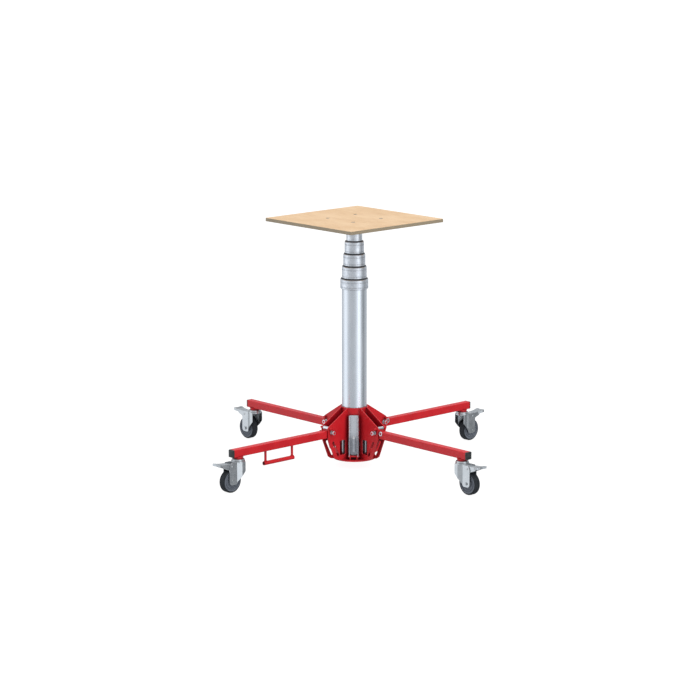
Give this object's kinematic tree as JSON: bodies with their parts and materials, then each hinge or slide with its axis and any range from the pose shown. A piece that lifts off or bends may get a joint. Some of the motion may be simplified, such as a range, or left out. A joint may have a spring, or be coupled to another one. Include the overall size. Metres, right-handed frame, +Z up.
{
  "type": "mobile column lift",
  "caption": "Telescopic pneumatic column on folding castor legs, carrying a square plywood load platform.",
  "frame": {"origin": "on the floor, under the axis of the column, centre of the bounding box's bottom face", "axes": "+Z up along the column; +X along the front right leg, -Y along the front left leg, which carries the handle"},
  "size_m": [1.5978, 1.5978, 1.106],
  "materials": {
    "column_aluminium": "satin anodised tube",
    "collar_aluminium": "turned, lightly matt",
    "seal_rubber": "matt black rubber",
    "guide_plastic": "moulded bearing plastic",
    "plywood": "clear sealed birch plywood",
    "zinc_steel": "bright zinc plate",
    "red_paint": "semi-gloss powder coat",
    "valve_brass": "machined brass",
    "black_plastic": "moulded",
    "tyre_rubber": "matt solid rubber",
    "wheel_plastic": "moulded grey plastic"
  },
  "bodies": {
    "base": {"outer_tube": "column_aluminium", "outer_collar": "collar_aluminium", "outer_wiper": "seal_rubber", "base_plug": "collar_aluminium", "air_valve": "valve_brass", "hub_core": "red_paint", "gusset_plates": "red_paint", "hub_bolts": "red_paint", "lock_housings": "zinc_steel"},
    "pedal": {"foot_pedal": "zinc_steel"},
    "stage_1": {"stage_1_tube": "column_aluminium", "stage_1_piston": "guide_plastic", "stage_1_collar": "collar_aluminium", "stage_1_wiper": "seal_rubber"},
    "stage_2": {"stage_2_tube": "column_aluminium", "stage_2_piston": "guide_plastic", "stage_2_collar": "collar_aluminium", "stage_2_wiper": "seal_rubber"},
    "stage_3": {"stage_3_tube": "column_aluminium", "stage_3_piston": "guide_plastic", "stage_3_collar": "collar_aluminium", "stage_3_wiper": "seal_rubber"},
    "head": {"head_tube": "column_aluminium", "head_piston": "guide_plastic", "head_flange": "collar_aluminium", "platform": "plywood", "platform_bolts": "zinc_steel"},
    "leg_front_right_body": {"leg_front_right": "red_paint", "leg_cap_front_right": "black_plastic", "castor_stem_front_right": "zinc_steel"},
    "plunger_front_right": {"lock_plunger_front_right": "zinc_steel"},
    "castor_front_right": {"castor_fork_front_right": "zinc_steel"},
    "wheel_front_right": {"tyre_front_right": "tyre_rubber", "wheel_centre_front_right": "wheel_plastic"},
    "brake_front_right": {"brake_pedal_front_right": "zinc_steel"},
    "leg_rear_right_body": {"leg_rear_right": "red_paint", "leg_cap_rear_right": "black_plastic", "castor_stem_rear_right": "zinc_steel"},
    "plunger_rear_right": {"lock_plunger_rear_right": "zinc_steel"},
    "castor_rear_right": {"castor_fork_rear_right": "zinc_steel"},
    "wheel_rear_right": {"tyre_rear_right": "tyre_rubber", "wheel_centre_rear_right": "wheel_plastic"},
    "brake_rear_right": {"brake_pedal_rear_right": "zinc_steel"},
    "leg_rear_left_body": {"leg_rear_left": "red_paint", "leg_cap_rear_left": "black_plastic", "castor_stem_rear_left": "zinc_steel"},
    "plunger_rear_left": {"lock_plunger_rear_left": "zinc_steel"},
    "castor_rear_left": {"castor_fork_rear_left": "zinc_steel"},
    "wheel_rear_left": {"tyre_rear_left": "tyre_rubber", "wheel_centre_rear_left": "wheel_plastic"},
    "brake_rear_left": {"brake_pedal_rear_left": "zinc_steel"},
    "leg_front_left_body": {"leg_front_left": "red_paint", "leg_cap_front_left": "black_plastic", "castor_stem_front_left": "zinc_steel", "carry_handle": "red_paint"},
    "plunger_front_left": {"lock_plunger_front_left": "zinc_steel"},
    "castor_front_left": {"castor_fork_front_left": "zinc_steel"},
    "wheel_front_left": {"tyre_front_left": "tyre_rubber", "wheel_centre_front_left": "wheel_plastic"},
    "brake_front_left": {"brake_pedal_front_left": "zinc_steel"}
  },
  "joints": [
    {"name": "stage_1_lift", "type": "slide", "parent": "base", "child": "stage_1", "axis": [0, 0, 1], "range_m": [0, 0.65]},
    {"name": "stage_2_lift", "type": "slide", "parent": "stage_1", "child": "stage_2", "axis": [0, 0, 1], "range_m": [0, 0.65]},
    {"name": "stage_3_lift", "type": "slide", "parent": "stage_2", "child": "stage_3", "axis": [0, 0, 1], "range_m": [0, 0.65]},
    {"name": "head_lift", "type": "slide", "parent": "stage_3", "child": "head", "axis": [0, 0, 1], "range_m": [0, 0.65]},
    {"name": "foot_pedal_fold", "type": "hinge", "parent": "base", "child": "pedal", "pos_m": [0.05233, -0.05233, 0.056], "axis": [0.7071, 0.7071, 0], "range_deg": [0, 85]},
    {"name": "leg_front_right_fold", "type": "hinge", "parent": "base", "child": "leg_front_right_body", "pos_m": [0.166, 0, 0.194], "axis": [0, -1, 0], "range_deg": [0, 90]},
    {"name": "lock_plunger_front_right_slide", "type": "slide", "parent": "base", "child": "plunger_front_right", "axis": [0, 1, 0], "range_m": [0, 0.006]},
    {"name": "castor_front_right_swivel", "type": "hinge", "parent": "leg_front_right_body", "child": "castor_front_right", "pos_m": [0.675, 0, 0.132], "axis": [0, 0, 1], "continuous": true},
    {"name": "wheel_front_right_spin", "type": "hinge", "parent": "castor_front_right", "child": "wheel_front_right", "pos_m": [0.72, 0, 0.05], "axis": [0, 1, 0], "continuous": true},
    {"name": "brake_front_right_press", "type": "hinge", "parent": "castor_front_right", "child": "brake_front_right", "pos_m": [0.725, 0, 0.116], "axis": [0, 1, 0], "range_deg": [0, 12]},
    {"name": "leg_rear_right_fold", "type": "hinge", "parent": "base", "child": "leg_rear_right_body", "pos_m": [0, 0.166, 0.194], "axis": [1, 0, 0], "range_deg": [0, 90]},
    {"name": "lock_plunger_rear_right_slide", "type": "slide", "parent": "base", "child": "plunger_rear_right", "axis": [-1, 0, 0], "range_m": [0, 0.006]},
    {"name": "castor_rear_right_swivel", "type": "hinge", "parent": "leg_rear_right_body", "child": "castor_rear_right", "pos_m": [0, 0.675, 0.132], "axis": [0, 0, 1], "continuous": true},
    {"name": "wheel_rear_right_spin", "type": "hinge", "parent": "castor_rear_right", "child": "wheel_rear_right", "pos_m": [0, 0.72, 0.05], "axis": [-1, 0, 0], "continuous": true},
    {"name": "brake_rear_right_press", "type": "hinge", "parent": "castor_rear_right", "child": "brake_rear_right", "pos_m": [0, 0.725, 0.116], "axis": [-1, 0, 0], "range_deg": [0, 12]},
    {"name": "leg_rear_left_fold", "type": "hinge", "parent": "base", "child": "leg_rear_left_body", "pos_m": [-0.166, 0, 0.194], "axis": [0, 1, 0], "range_deg": [0, 90]},
    {"name": "lock_plunger_rear_left_slide", "type": "slide", "parent": "base", "child": "plunger_rear_left", "axis": [0, 1, 0], "range_m": [0, 0.006]},
    {"name": "castor_rear_left_swivel", "type": "hinge", "parent": "leg_rear_left_body", "child": "castor_rear_left", "pos_m": [-0.675, 0, 0.132], "axis": [0, 0, 1], "continuous": true},
    {"name": "wheel_rear_left_spin", "type": "hinge", "parent": "castor_rear_left", "child": "wheel_rear_left", "pos_m": [-0.72, 0, 0.05], "axis": [0, -1, 0], "continuous": true},
    {"name": "brake_rear_left_press", "type": "hinge", "parent": "castor_rear_left", "child": "brake_rear_left", "pos_m": [-0.725, 0, 0.116], "axis": [0, -1, 0], "range_deg": [0, 12]},
    {"name": "leg_front_left_fold", "type": "hinge", "parent": "base", "child": "leg_front_left_body", "pos_m": [0, -0.166, 0.194], "axis": [-1, 0, 0], "range_deg": [0, 90]},
    {"name": "lock_plunger_front_left_slide", "type": "slide", "parent": "base", "child": "plunger_front_left", "axis": [-1, 0, 0], "range_m": [0, 0.006]},
    {"name": "castor_front_left_swivel", "type": "hinge", "parent": "leg_front_left_body", "child": "castor_front_left", "pos_m": [0, -0.675, 0.132], "axis": [0, 0, 1], "continuous": true},
    {"name": "wheel_front_left_spin", "type": "hinge", "parent": "castor_front_left", "child": "wheel_front_left", "pos_m": [0, -0.72, 0.05], "axis": [1, 0, 0], "continuous": true},
    {"name": "brake_front_left_press", "type": "hinge", "parent": "castor_front_left", "child": "brake_front_left", "pos_m": [0, -0.725, 0.116], "axis": [1, 0, 0], "range_deg": [0, 12]}
  ]
}
